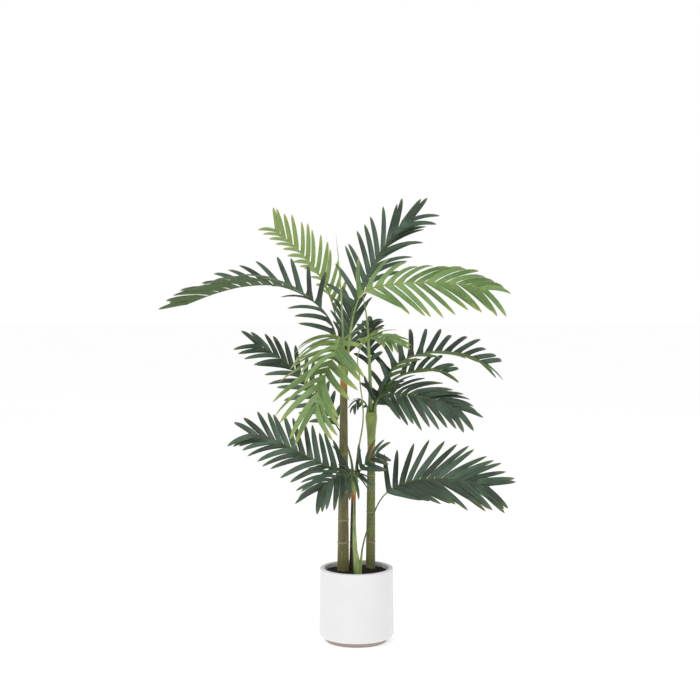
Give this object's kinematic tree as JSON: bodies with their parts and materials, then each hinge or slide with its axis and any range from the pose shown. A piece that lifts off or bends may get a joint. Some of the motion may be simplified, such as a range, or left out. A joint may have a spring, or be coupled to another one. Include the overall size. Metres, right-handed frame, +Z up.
{
  "type": "potted palm",
  "caption": "Indoor feather palm: three ringed stems with arching green fronds growing from dark soil in a round white pot, for furnishing a room",
  "frame": {"origin": "centre of the pot's flat underside, on the surface that it stands on", "axes": "+Z up along the stems, -Y toward the front of the plant, +X to the right of someone facing it"},
  "size_m": [0.9547, 0.6128, 1.1957],
  "materials": {
    "pot_white": "satin",
    "soil_black": "matte",
    "stem_green": "satin",
    "stem_brown": "satin",
    "sheath_green": "satin",
    "leaf_dark": "satin",
    "leaf_light": "satin"
  },
  "bodies": {
    "root": {"pot": "pot_white", "soil": "soil_black", "stem_left": "stem_green", "stem_middle": "stem_brown", "stem_right": "stem_green", "crownshaft_left": "sheath_green", "crownshaft_middle": "sheath_green", "crownshaft_right": "sheath_green", "frond_left_high": "leaf_dark", "frond_right_high": "leaf_dark", "frond_right_mid": "leaf_dark", "frond_right_drooping": "leaf_dark", "frond_right_low": "leaf_dark", "frond_left_low": "leaf_dark", "frond_left_mid": "leaf_dark", "frond_right_inner": "leaf_dark", "frond_front_low": "leaf_dark", "frond_front_inner": "leaf_dark", "frond_back": "leaf_dark", "frond_back_right": "leaf_dark", "frond_curled": "leaf_dark", "frond_right_light": "leaf_light", "frond_back_left": "leaf_light", "frond_front_left": "leaf_light", "frond_front_high": "leaf_light", "frond_front_right": "leaf_light", "spear_left": "leaf_light", "spear_right": "leaf_light", "shoot": "sheath_green"}
  },
  "joints": []
}
